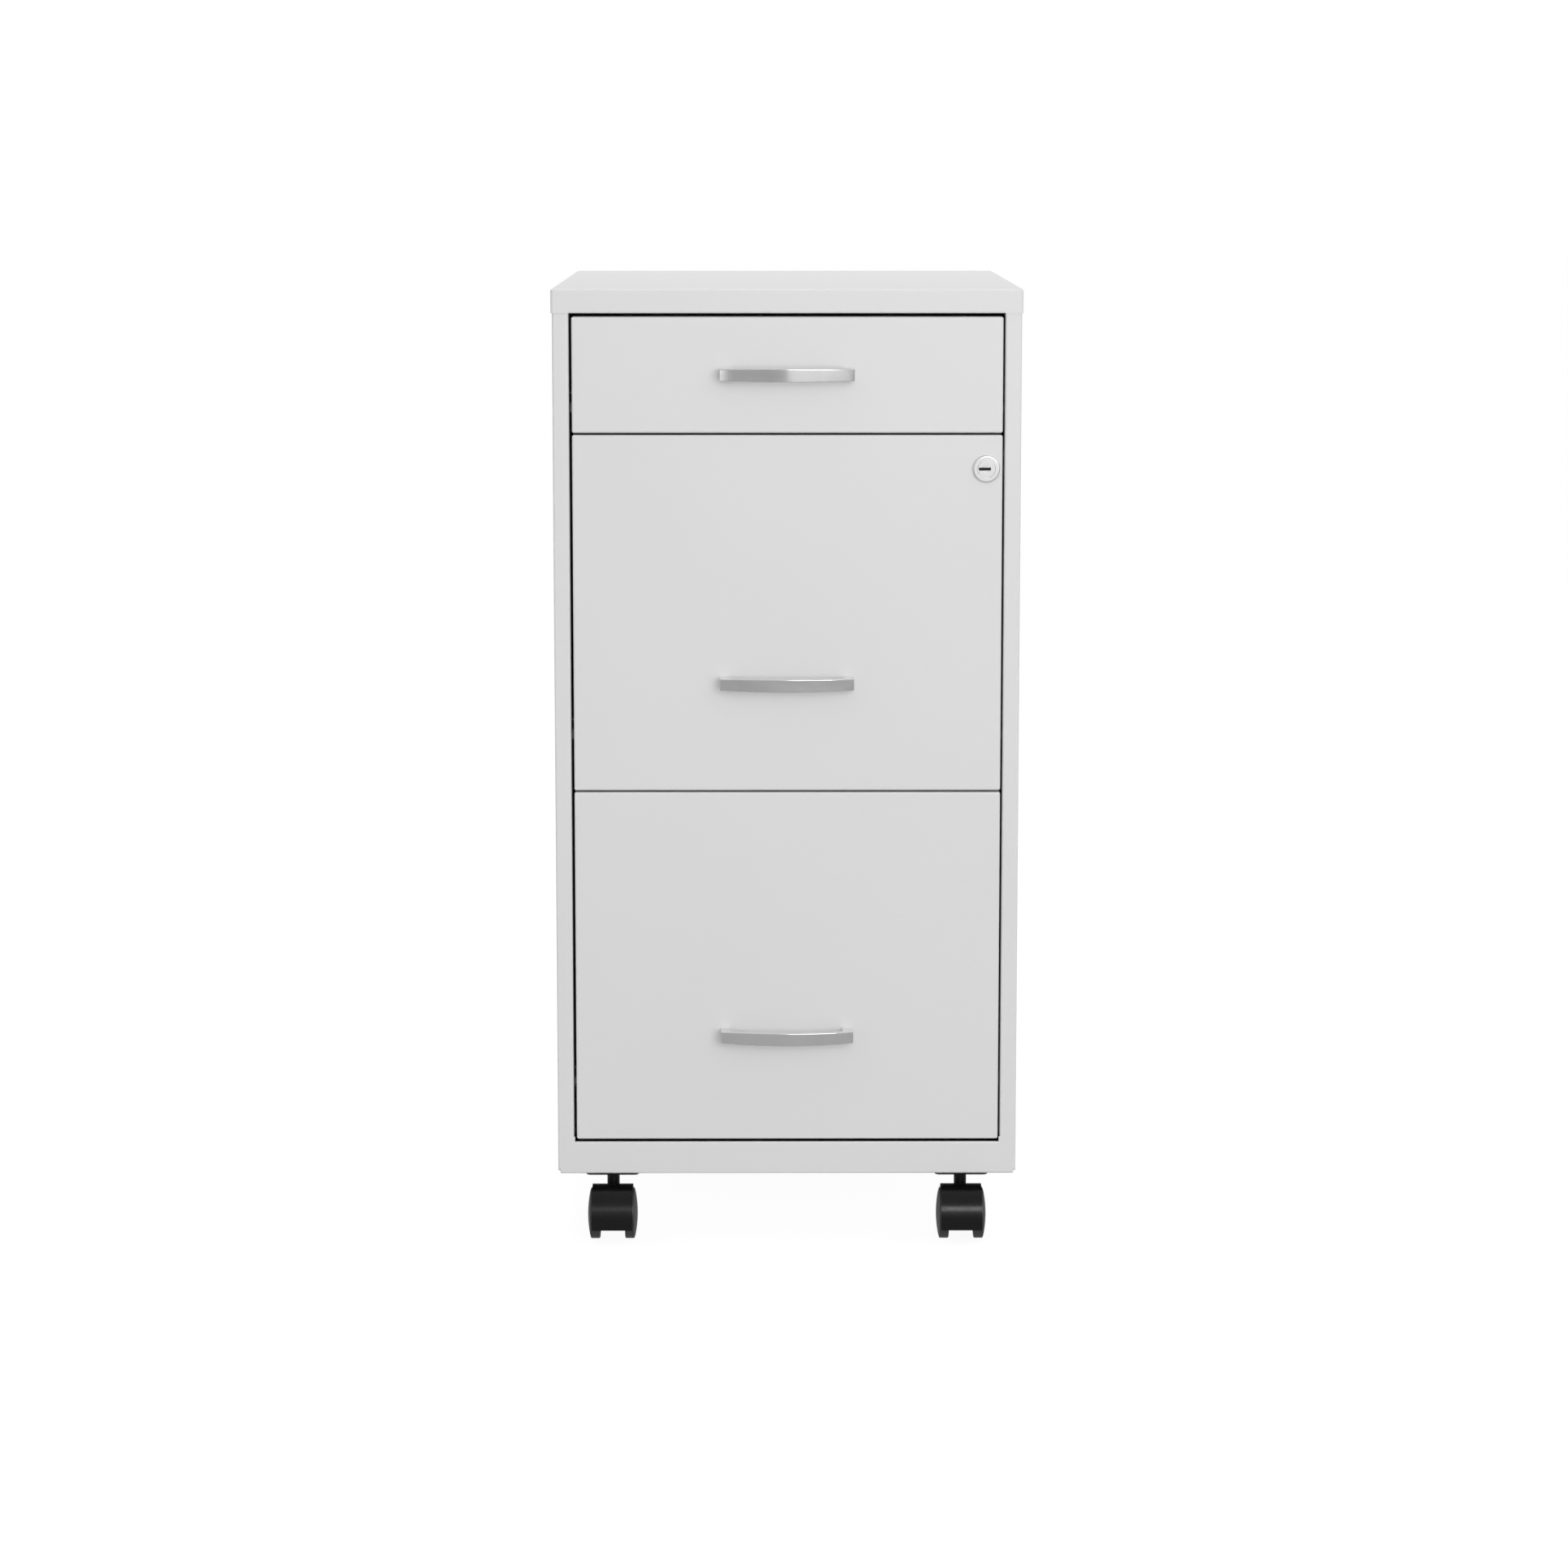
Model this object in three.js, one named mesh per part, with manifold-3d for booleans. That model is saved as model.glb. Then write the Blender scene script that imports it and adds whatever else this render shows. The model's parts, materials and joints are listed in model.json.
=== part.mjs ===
// A three-drawer steel filing cabinet on four twin-wheel swivel casters: a small box drawer over
// two file drawers, arched bar handles, and a cam lock on the middle drawer.
// Millimetres, +Z up. The drawers open towards -Y. The origin is on the floor, under the middle
// of the overall box, handles included. Left and right are as seen from the front: left is -X.

import * as THREE from 'three';
import { mergeVertices } from 'three/addons/utils/BufferGeometryUtils.js';
import Module from 'manifold-3d';

const wasm = await Module();
wasm.setup();

// ---- Overall size ----
const TOTAL_HEIGHT = 747;
const CAP_WIDTH = 362;
const CAP_DEPTH = 457;
const HANDLE_REACH = 24.5; // how far a handle stands in front of the cap
const CASTER_HEIGHT = 53.5;

const OVERALL_DEPTH = CAP_DEPTH + HANDLE_REACH;
const BACK = OVERALL_DEPTH / 2;
const FRONT = BACK - CAP_DEPTH;

// ---- Sheet metal ----
const GAP = 0.3; // between pieces that are welded, screwed or hung together
const CAP_SHEET = 0.6;
const SHEET = 0.7;
const DRAWER_SHEET = 0.8;
const BEND = 1.5; // outer radius of a folded edge
const BEND_STEPS = 2;

// ---- Case ----
const CAP_RIM = 18.5;
const LIP_DEPTH = 16;
const BODY_HALF = CAP_WIDTH / 2 - CAP_SHEET - GAP;
const BODY_FRONT = FRONT + CAP_SHEET + GAP;
const BACK_FACE = BACK - CAP_SHEET - GAP;
const BODY_BOTTOM = CASTER_HEIGHT;
const BODY_TOP = TOTAL_HEIGHT - CAP_SHEET - GAP;
const OPENING_TOP = TOTAL_HEIGHT - CAP_RIM;
const OPENING_HALF = 167.5;
const OPENING_BOTTOM = 79.7;
const STILE_RETURN = 19; // how far the stiles turn back along the opening
const REAR_FLANGE = 14;
const SIDE_BOTTOM = BODY_BOTTOM + 2.5;
const RAIL_EAR = 3.5; // the bottom rail's ears rise past the opening's edge under the stiles
const RAIL_FLOOR = 50;
const EAR_END = BODY_HALF - BEND - GAP;
const BASE_WALL = 15;
const REAR_BAR_DEPTH = 50;

// ---- Drawers ----
const FRONT_FACE = FRONT + 0.4; // outer face of the drawer fronts
const FRONT_HALF = 166.05;
const FRONT_CORNER = 2.25;
const FRONT_PAN = 19; // depth of the pressed front
const BOX_FRONT = FRONT_FACE + FRONT_PAN + GAP;
const BOX_LENGTH = 400;
const BOX_HALF = 158;
const BOX_RAISED = 10; // box floor above the lower edge of its front
const HANGER = 6; // outward flange along the top of a box side
const TRAVEL = 300;
const DRAWERS = [
  { name: 'top', bottom: 636.9, top: 726.3, boxHeight: 65, runner: 22, handle: 682 },
  { name: 'middle', bottom: 359.05, top: 635.25, boxHeight: 240, runner: 45, handle: 443.7 },
  { name: 'bottom', bottom: 81.35, top: 357.55, boxHeight: 240, runner: 45, handle: 166.1 },
];

// ---- Slides: a channel on the case, a runner flange on the drawer, nylon between them ----
const CHANNEL_HEIGHT = 16;
const CHANNEL_SHEET = 1;
const CHANNEL_OUTER = BODY_HALF - SHEET - GAP;
const CHANNEL_INNER = 160;
const CHANNEL_FRONT = BODY_FRONT + 24;
const CHANNEL_BACK = BACK - 22;
const RUNNER_SHEET = 1;
const RUNNER_EDGE = OPENING_HALF - 1; // the runner passes between the stiles
const GLIDE = { front: CHANNEL_FRONT + 2, length: 18, inner: 161, outer: 177.5, chamfer: 2 };
const SHOE = { length: 45, inner: 158.5, outer: 177.4, play: 0.5 };
const SHOE_FRONT = GLIDE.front + GLIDE.length + TRAVEL + 0.5;

// ---- Handles ----
const HANDLE = { half: 51.75, endReach: 15.5, bar: 4.5, post: 8.5, endHeight: 8.8, midHeight: 10 };
const HANDLE_STEPS = 12;

// ---- Cam lock ----
const LOCK = { x: 153.4, z: 609.3, flange: 10.55, face: 9, proud: 2.8, barrel: 8.2, bore: 6.9 };
const LOCK_LENGTH = 15;
const PLUG_RADIUS = 6.6;
const KEYWAY = { left: -5.9, right: 3.4, height: 2.2, depth: 12 };
const NUT = { acrossFlats: 21, thickness: 4 };
const CAM = { width: 8, reach: 19.5, front: 15.6, thickness: 1.8, hole: 3.3 };
const CAM_SLOT = { below: 6, above: 17, front: CAM.front - 2, back: CAM.front + CAM.thickness + 1 };
const TAIL = { radius: 3, end: 18.4 };

// ---- Casters ----
const CASTER_X = 137.5;
const CASTER_INSET = 24; // stem axis from the front and back faces
const TRAIL = 16;
const WHEEL_RADIUS = 20;
const WHEEL = { inner: 9.9, tread: 17.6, shoulder: 0.7, outer: 19.6, bore: 2.8, boreEnd: 17.3 };
const AXLE_RADIUS = 2.5;
const PLATE = { side: 42, thickness: 1.5, corner: 4, hole: 2.6, holeOffset: 15.5 };
const STEM = { radius: 4.9, neck: 4, neckLength: 1.8, bottom: 18 };
const HOOD = { outer: 23, inner: 21.2, half: 15.95, back: -1, web: 8.9, webRadius: 22, webBottom: 12.5 };
const BOSS = { radius: 7.6, bottom: 14, top: 36.2 };
const HOOD_LOW = 23.5; // degrees below the axle at which the hood's free edge lies
const ROUND_STEPS = 24;
const SMALL_ROUND_STEPS = 10; // for pins, screw holes and other radii under 4 mm

// ---- Materials ----
const finish = (color, roughness, metalness) =>
  new THREE.MeshStandardMaterial({ color, roughness, metalness });
const PAINT = finish(0xdcdcdb, 0.45, 0);
const ZINC = finish(0xb4b6b8, 0.4, 0.9);
const NICKEL = finish(0xa3a3a3, 0.35, 0.9);
const CHROME = finish(0xd8d8d8, 0.2, 1);
const NYLON = finish(0xf0efe8, 0.5, 0);
const BLACK_STEEL = finish(0x1b1b1c, 0.4, 0.4);
const BLACK_PLASTIC = finish(0x232222, 0.45, 0);

// ---- Geometry helpers ----
const X = new THREE.Vector3(1, 0, 0);
const Y = new THREE.Vector3(0, 1, 0);
const Z = new THREE.Vector3(0, 0, 1);
const MERGE_TOLERANCE = 1e-4;

function toSolid(geometry) {
  const bare = geometry.clone();
  bare.deleteAttribute('normal');
  bare.deleteAttribute('uv');
  const merged = mergeVertices(bare, MERGE_TOLERANCE);
  const vertProperties = new Float32Array(merged.attributes.position.array);
  const triVerts = new Uint32Array(merged.index.array);
  return new wasm.Manifold(new wasm.Mesh({ numProp: 3, vertProperties, triVerts }));
}

function toGeometry(manifold) {
  const mesh = manifold.getMesh();
  const geometry = new THREE.BufferGeometry();
  geometry.setAttribute('position', new THREE.BufferAttribute(mesh.vertProperties, 3));
  geometry.setIndex(new THREE.BufferAttribute(mesh.triVerts, 1));
  geometry.computeVertexNormals();
  return geometry;
}

function join(solids) {
  return solids.reduce((whole, next) => whole.add(next));
}

function block([x0, x1], [y0, y1], [z0, z1]) {
  const box = new THREE.BoxGeometry(x1 - x0, y1 - y0, z1 - z0);
  return toSolid(box.translate((x0 + x1) / 2, (y0 + y1) / 2, (z0 + z1) / 2));
}

// Turns and moves a geometry so that its own axes lie along the three given directions.
function placed(geometry, xAxis, yAxis, zAxis, origin = new THREE.Vector3()) {
  const matrix = new THREE.Matrix4().makeBasis(xAxis, yAxis, zAxis).setPosition(origin);
  return geometry.applyMatrix4(matrix);
}

function extruded(shape, depth) {
  return new THREE.ExtrudeGeometry(shape, { depth, bevelEnabled: false, steps: 1 });
}

// A (y, z) shape drawn out along X.
function alongX(shape, [x0, x1]) {
  return toSolid(placed(extruded(shape, x1 - x0), Y, Z, X, new THREE.Vector3(x0, 0, 0)));
}

// An (x, z) shape drawn out along Y.
function alongY(shape, [y0, y1]) {
  const origin = new THREE.Vector3(0, y1, 0);
  return toSolid(placed(extruded(shape, y1 - y0), X, Z, Y.clone().negate(), origin));
}

// An (x, y) shape drawn out along Z.
function alongZ(shape, [z0, z1]) {
  return toSolid(extruded(shape, z1 - z0).translate(0, 0, z0));
}

function cylinder(radius, length) {
  const steps = radius < 4 ? SMALL_ROUND_STEPS : ROUND_STEPS;
  return new THREE.CylinderGeometry(radius, radius, length, steps);
}

function cylinderX(radius, [x0, x1], y, z) {
  const geometry = cylinder(radius, x1 - x0).rotateZ(Math.PI / 2);
  return toSolid(geometry.translate((x0 + x1) / 2, y, z));
}

function cylinderY(radius, [y0, y1], x, z) {
  return toSolid(cylinder(radius, y1 - y0).translate(x, (y0 + y1) / 2, z));
}

function cylinderZ(radius, [z0, z1], x, y) {
  const geometry = cylinder(radius, z1 - z0).rotateX(Math.PI / 2);
  return toSolid(geometry.translate(x, y, (z0 + z1) / 2));
}

// A turned piece: points are (radius, distance along the axis).
function turned(points) {
  const profile = points.map(([radius, along]) => new THREE.Vector2(radius, along));
  return new THREE.LatheGeometry(profile, ROUND_STEPS);
}

const leftNormal = (from, to) => {
  const along = to.clone().sub(from).normalize();
  return new THREE.Vector2(-along.y, along.x);
};

// Moves an open path sideways, to its left.
function offsetPath(path, distance) {
  return path.map((point, i) => {
    const before = leftNormal(path[Math.max(i, 1) - 1], path[Math.max(i, 1)]);
    const last = path.length - 1;
    const after = leftNormal(path[Math.min(i, last - 1)], path[Math.min(i, last - 1) + 1]);
    const share = distance / (1 + before.dot(after));
    return point.clone().addScaledVector(before, share).addScaledVector(after, share);
  });
}

// Rounds the corners of an open path: leftRadius where it turns left, rightRadius elsewhere.
function roundCorners(path, leftRadius, rightRadius) {
  const rounded = [path[0]];
  for (let i = 1; i < path.length - 1; i += 1) {
    const before = leftNormal(path[i - 1], path[i]);
    const after = leftNormal(path[i], path[i + 1]);
    const turn = Math.atan2(before.cross(after), before.dot(after));
    const radius = turn > 0 ? leftRadius : rightRadius;
    const side = Math.sign(turn);
    const reach = (side * radius) / (1 + before.dot(after));
    const centre = path[i].clone().addScaledVector(before, reach).addScaledVector(after, reach);
    for (let step = 0; step <= BEND_STEPS; step += 1) {
      const spoke = before.clone().rotateAround(new THREE.Vector2(), (turn * step) / BEND_STEPS);
      rounded.push(centre.clone().addScaledVector(spoke, -side * radius));
    }
  }
  rounded.push(path[path.length - 1]);
  return rounded;
}

// The section of a folded sheet. The path runs along one face, and the metal is on its left.
function foldedSheet(points, sheet) {
  const path = points.map(([a, b]) => new THREE.Vector2(a, b));
  const near = roundCorners(path, BEND, BEND - sheet);
  const far = roundCorners(offsetPath(path, sheet), BEND - sheet, BEND);
  return new THREE.Shape([...near, ...far.reverse()]);
}

function roundedRectangle(width, height, radius) {
  const [w, h] = [width / 2, height / 2];
  const shape = new THREE.Shape();
  shape.absarc(w - radius, h - radius, radius, 0, Math.PI / 2);
  shape.absarc(radius - w, h - radius, radius, Math.PI / 2, Math.PI);
  shape.absarc(radius - w, radius - h, radius, Math.PI, 1.5 * Math.PI);
  shape.absarc(w - radius, radius - h, radius, 1.5 * Math.PI, 2 * Math.PI);
  return shape;
}

// A rounded rectangle from z = 0 to z = depth, whose edges at z = 0 are rounded over.
function easedBlock(width, height, depth, corner, edge) {
  const shape = roundedRectangle(width - 2 * edge, height - 2 * edge, corner - edge);
  const bevel = { bevelThickness: edge, bevelSize: edge, bevelSegments: BEND_STEPS };
  const settings = { depth, steps: 1, curveSegments: BEND_STEPS, bevelEnabled: true, ...bevel };
  const whole = toSolid(new THREE.ExtrudeGeometry(shape, settings).translate(0, 0, edge));
  return whole.intersect(block([-width, width], [-height, height], [-1, depth]));
}

// A pressed tray: its face is at z = 0 and its walls run to z = depth.
function tray(width, height, depth, corner, sheet) {
  const shell = easedBlock(width, height, depth, corner, BEND);
  const inset = 2 * sheet;
  const inside = easedBlock(width - inset, height - inset, depth, corner - sheet, BEND - sheet);
  return toGeometry(shell.subtract(inside.translate([0, 0, sheet])));
}

const root = new THREE.Group();

function add(name, shape, material, parent = root) {
  const geometry = shape.isBufferGeometry ? shape : toGeometry(shape);
  const mesh = new THREE.Mesh(geometry, material);
  mesh.name = name;
  parent.add(mesh);
}

const SIDES = [
  { name: 'left', sign: -1 },
  { name: 'right', sign: 1 },
];

// Mirrors a right-hand solid for the left-hand side.
const handed = (shape, sign) => (sign > 0 ? shape : shape.mirror([1, 0, 0]));

// ---- Case ----
function topCap() {
  const middleY = (FRONT + BACK) / 2;
  const origin = new THREE.Vector3(0, middleY, TOTAL_HEIGHT);
  const down = Z.clone().negate();
  const pan = tray(CAP_WIDTH, CAP_DEPTH, CAP_RIM, BEND + 0.5, CAP_SHEET);
  const shell = toSolid(placed(pan, X, Y.clone().negate(), down, origin));
  const half = OPENING_HALF - GAP;
  const fold = foldedSheet([
    [FRONT + LIP_DEPTH, OPENING_TOP],
    [FRONT, OPENING_TOP],
    [FRONT, OPENING_TOP + 2 * BEND],
  ].reverse(), CAP_SHEET);
  const edge = block([-half, half], [FRONT - 1, FRONT + CAP_SHEET], [OPENING_TOP - 1, OPENING_TOP + BEND]);
  return shell.subtract(edge).add(alongX(fold, [-half, half]));
}

function sidePanel(sign) {
  const section = foldedSheet([
    [OPENING_HALF, BODY_FRONT + STILE_RETURN],
    [OPENING_HALF, BODY_FRONT],
    [BODY_HALF, BODY_FRONT],
    [BODY_HALF, BACK_FACE - SHEET - GAP],
    [BODY_HALF - REAR_FLANGE, BACK_FACE - SHEET - GAP],
  ], SHEET);
  const wall = alongZ(section, [SIDE_BOTTOM, BODY_TOP]);
  const railNotch = block(
    [OPENING_HALF - 1, EAR_END + GAP],
    [BODY_FRONT - 1, BODY_FRONT + STILE_RETURN + 1],
    [SIDE_BOTTOM - 1, OPENING_BOTTOM + RAIL_EAR + GAP],
  );
  const camSlot = block(
    [OPENING_HALF - 1, OPENING_HALF + SHEET + 1],
    [FRONT_FACE + CAM_SLOT.front, FRONT_FACE + CAM_SLOT.back],
    [LOCK.z - CAM_SLOT.below, LOCK.z + CAM_SLOT.above],
  );
  const cutWall = wall.subtract(railNotch);
  return handed(sign > 0 ? cutWall.subtract(camSlot) : cutWall, sign);
}

function backPanel() {
  const half = BODY_HALF - 0.5;
  return block([-half, half], [BACK_FACE - SHEET, BACK_FACE], [SIDE_BOTTOM, BODY_TOP]);
}

function bottomFrontRail() {
  const half = OPENING_HALF - GAP;
  const floorEdge = [BODY_FRONT + RAIL_FLOOR, BODY_BOTTOM];
  const lowerCorner = [BODY_FRONT, BODY_BOTTOM];
  const face = foldedSheet([
    [BODY_FRONT + LIP_DEPTH, OPENING_BOTTOM],
    [BODY_FRONT, OPENING_BOTTOM],
    lowerCorner,
    floorEdge,
  ], SHEET);
  const ear = foldedSheet([[BODY_FRONT, OPENING_BOTTOM + RAIL_EAR], lowerCorner, floorEdge], SHEET);
  return join([
    alongX(face, [-half, half]),
    alongX(ear, [-EAR_END, -half]),
    alongX(ear, [half, EAR_END]),
  ]);
}

function basePan() {
  const front = BODY_FRONT + SHEET + GAP;
  const back = BACK_FACE - 2 * (SHEET + GAP);
  const width = 2 * (BODY_HALF - SHEET - GAP);
  const pan = tray(width, back - front, BASE_WALL, BEND + 0.5, SHEET);
  return pan.translate(0, (front + back) / 2, BODY_BOTTOM + SHEET + GAP);
}

function rearCasterBar() {
  const back = BACK_FACE - 2 * (SHEET + GAP);
  return block([-EAR_END, EAR_END], [back - REAR_BAR_DEPTH, back], [BODY_BOTTOM, BODY_BOTTOM + SHEET]);
}

add('top_cap', topCap(), PAINT);
SIDES.forEach(({ name, sign }) => add(`${name}_side_panel`, sidePanel(sign), PAINT));
add('back_panel', backPanel(), PAINT);
add('bottom_front_rail', bottomFrontRail(), PAINT);
add('base_pan', basePan(), PAINT);
add('rear_caster_bar', rearCasterBar(), PAINT);

// ---- Slides ----
const runnerZ = (drawer) => drawer.bottom + drawer.runner;
const channelBottom = (drawer) => runnerZ(drawer) - CHANNEL_HEIGHT / 2;

function caseRail(drawer, sign) {
  const bottom = channelBottom(drawer);
  const section = foldedSheet([
    [CHANNEL_INNER, bottom],
    [CHANNEL_OUTER, bottom],
    [CHANNEL_OUTER, bottom + CHANNEL_HEIGHT],
    [CHANNEL_INNER, bottom + CHANNEL_HEIGHT],
  ], CHANNEL_SHEET);
  return handed(alongY(section, [CHANNEL_FRONT, CHANNEL_BACK]), sign);
}

function frontGlide(drawer, sign) {
  const low = channelBottom(drawer) + CHANNEL_SHEET + GAP;
  const high = runnerZ(drawer) - RUNNER_SHEET / 2 - GAP;
  const { front, length, chamfer } = GLIDE;
  const outline = new THREE.Shape([
    new THREE.Vector2(front, low),
    new THREE.Vector2(front + length, low),
    new THREE.Vector2(front + length, high - chamfer),
    new THREE.Vector2(front + length - chamfer, high),
    new THREE.Vector2(front + chamfer, high),
    new THREE.Vector2(front, high - chamfer),
  ]);
  return handed(alongX(outline, [GLIDE.inner, GLIDE.outer]), sign);
}

function rearShoe(drawer, sign) {
  const z = runnerZ(drawer);
  const half = CHANNEL_HEIGHT / 2 - CHANNEL_SHEET - SHOE.play;
  const span = [SHOE_FRONT, SHOE_FRONT + SHOE.length];
  const body = block([SHOE.inner, SHOE.outer], span, [z - half, z + half]);
  const slotHalf = RUNNER_SHEET / 2 + GAP;
  const slotSpan = [span[0] - 1, span[1] + 1];
  const slot = block([SHOE.inner - 1, RUNNER_EDGE + GAP], slotSpan, [z - slotHalf, z + slotHalf]);
  return handed(body.subtract(slot), sign);
}

// ---- Drawers ----
function drawerFront(drawer) {
  const height = drawer.top - drawer.bottom;
  const middle = (drawer.top + drawer.bottom) / 2;
  const pan = tray(2 * FRONT_HALF, height, FRONT_PAN, FRONT_CORNER, DRAWER_SHEET);
  const front = placed(pan, X.clone().negate(), Z, Y, new THREE.Vector3(0, FRONT_FACE, middle));
  if (drawer.name !== 'middle') return front;
  const hole = cylinderY(LOCK.barrel + GAP, [FRONT_FACE - 1, FRONT_FACE + BEND], LOCK.x, LOCK.z);
  const camSlot = block(
    [FRONT_HALF - BEND, FRONT_HALF + 1],
    [FRONT_FACE + CAM_SLOT.front, FRONT_FACE + FRONT_PAN + 1],
    [LOCK.z - CAM_SLOT.below, LOCK.z + CAM_SLOT.above],
  );
  return toSolid(front).subtract(hole).subtract(camSlot);
}

function drawerBox(drawer) {
  const floor = drawer.bottom + BOX_RAISED;
  const top = floor + drawer.boxHeight;
  const span = [BOX_FRONT, BOX_FRONT + BOX_LENGTH];
  const section = foldedSheet([
    [-BOX_HALF - HANGER, top],
    [-BOX_HALF, top],
    [-BOX_HALF, floor],
    [BOX_HALF, floor],
    [BOX_HALF, top],
    [BOX_HALF + HANGER, top],
  ], DRAWER_SHEET);
  const inside = BOX_HALF - DRAWER_SHEET / 2;
  const wall = (y0, height) =>
    block([-inside, inside], [y0, y0 + DRAWER_SHEET], [floor + DRAWER_SHEET / 2, floor + height]);
  const z = runnerZ(drawer);
  const runner = block([inside, RUNNER_EDGE], span, [z - RUNNER_SHEET / 2, z + RUNNER_SHEET / 2]);
  return join([
    alongY(section, span),
    wall(span[0], drawer.boxHeight - 2),
    wall(span[1] - DRAWER_SHEET, drawer.boxHeight - 12),
    runner,
    handed(runner, -1),
  ]);
}

// An arc through the handle's ends and its middle, in plan.
function handleArc(half, endReach, midReach) {
  const rise = midReach - endReach;
  const radius = (half * half + rise * rise) / (2 * rise);
  const centre = midReach - radius;
  const spread = Math.asin(half / radius);
  const points = [];
  for (let step = 0; step <= HANDLE_STEPS; step += 1) {
    const angle = spread * ((2 * step) / HANDLE_STEPS - 1);
    points.push([radius * Math.sin(angle), centre + radius * Math.cos(angle)]);
  }
  return points;
}

function handle(drawer) {
  const { half, endReach, bar, post, endHeight, midHeight } = HANDLE;
  const foot = GAP;
  const clear = half - post;
  const reach = FRONT_FACE - FRONT + HANDLE_REACH;
  const outside = handleArc(half, endReach, reach);
  const inside = handleArc(clear, endReach + 1.2 - bar, reach - bar).reverse();
  const plan = [[-half, foot], ...outside, [half, foot], [clear, foot], ...inside, [-clear, foot]];
  const bow = alongZ(
    new THREE.Shape(plan.map(([x, y]) => new THREE.Vector2(x, FRONT_FACE - y))),
    [drawer.handle - midHeight, drawer.handle + midHeight],
  );
  const upper = handleArc(half + 1, endHeight / 2, midHeight / 2);
  const lower = upper.map(([x, z]) => [x, -z]).reverse();
  const elevation = new THREE.Shape(
    [...upper, ...lower].map(([x, z]) => new THREE.Vector2(x, drawer.handle + z)),
  );
  return bow.intersect(alongY(elevation, [FRONT - 2 * HANDLE_REACH, FRONT_FACE + 1]));
}

DRAWERS.forEach((drawer) => {
  add(`${drawer.name}_drawer_front`, drawerFront(drawer), PAINT);
  add(`${drawer.name}_drawer_box`, drawerBox(drawer), PAINT);
  add(`${drawer.name}_drawer_handle`, handle(drawer), NICKEL);
  SIDES.forEach(({ name, sign }) => {
    add(`${drawer.name}_${name}_case_rail`, caseRail(drawer, sign), ZINC);
    add(`${drawer.name}_${name}_front_glide`, frontGlide(drawer, sign), NYLON);
    add(`${drawer.name}_${name}_rear_shoe`, rearShoe(drawer, sign), NYLON);
  });
});

// ---- Cam lock: drawn from the drawer's face, with +Y into the drawer ----
const lock = new THREE.Group();
lock.position.set(LOCK.x, FRONT_FACE, LOCK.z);
root.add(lock);

function lockHousing() {
  return turned([
    [LOCK.bore, -LOCK.proud],
    [LOCK.bore, LOCK_LENGTH],
    [LOCK.barrel, LOCK_LENGTH],
    [LOCK.barrel, -GAP],
    [LOCK.flange, -GAP],
    [LOCK.flange, -GAP - 0.6],
    [LOCK.face, -LOCK.proud],
    [LOCK.bore, -LOCK.proud],
  ].reverse());
}

function lockPlug() {
  const face = GAP - LOCK.proud;
  const barrel = cylinderY(PLUG_RADIUS, [face, LOCK_LENGTH + GAP], 0, 0);
  const tail = cylinderY(TAIL.radius, [LOCK_LENGTH, TAIL.end], 0, 0);
  const { left, right, height, depth } = KEYWAY;
  const keyway = block([left, right], [face - 1, face + depth], [-height / 2, height / 2]);
  return barrel.add(tail).subtract(keyway);
}

// The cam points up, clear of the case, while the lock is open.
function lockCam() {
  const span = [CAM.front, CAM.front + CAM.thickness];
  const half = CAM.width / 2;
  const arm = block([-half, half], span, [0, CAM.reach]);
  const hub = cylinderY(half, span, 0, 0);
  const hole = cylinderY(CAM.hole, [span[0] - 1, span[1] + 1], 0, 0);
  return arm.add(hub).subtract(hole);
}

function lockNut() {
  const span = [DRAWER_SHEET + GAP, DRAWER_SHEET + GAP + NUT.thickness];
  const cornerRadius = NUT.acrossFlats / Math.sqrt(3);
  const hex = new THREE.CylinderGeometry(cornerRadius, cornerRadius, NUT.thickness, 6);
  const body = toSolid(hex.translate(0, (span[0] + span[1]) / 2, 0));
  return body.subtract(cylinderY(LOCK.barrel + GAP, [span[0] - 1, span[1] + 1], 0, 0));
}

add('lock_housing', lockHousing(), CHROME, lock);
add('lock_plug', lockPlug(), CHROME, lock);
add('lock_cam', lockCam(), ZINC, lock);
add('lock_nut', lockNut(), ZINC, lock);

// ---- Casters: each drawn about its stem, the wheels trailing towards -Y ----
function casterPlate() {
  const top = CASTER_HEIGHT - GAP;
  const underside = top - PLATE.thickness;
  const bevel = { bevelThickness: 0.8, bevelSize: 0.8, bevelSegments: 1 };
  const outline = roundedRectangle(PLATE.side - 1.6, PLATE.side - 1.6, PLATE.corner - 0.8);
  const settings = { depth: PLATE.thickness, steps: 1, curveSegments: BEND_STEPS, bevelEnabled: true };
  const blank = new THREE.ExtrudeGeometry(outline, { ...settings, ...bevel });
  const half = PLATE.side;
  const trim = block([-half, half], [-half, half], [underside, top]);
  let plate = toSolid(blank.translate(0, 0, underside + 0.8)).intersect(trim);
  [-1, 1].forEach((i) => {
    [-1, 1].forEach((j) => {
      const [x, y] = [i * PLATE.holeOffset, j * PLATE.holeOffset];
      plate = plate.subtract(cylinderZ(PLATE.hole, [underside - 1, top + 1], x, y));
    });
  });
  const shoulder = underside - STEM.neckLength;
  return join([
    plate,
    cylinderZ(STEM.neck, [shoulder, underside + 1], 0, 0),
    cylinderZ(STEM.radius, [STEM.bottom, shoulder], 0, 0),
  ]);
}

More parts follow.
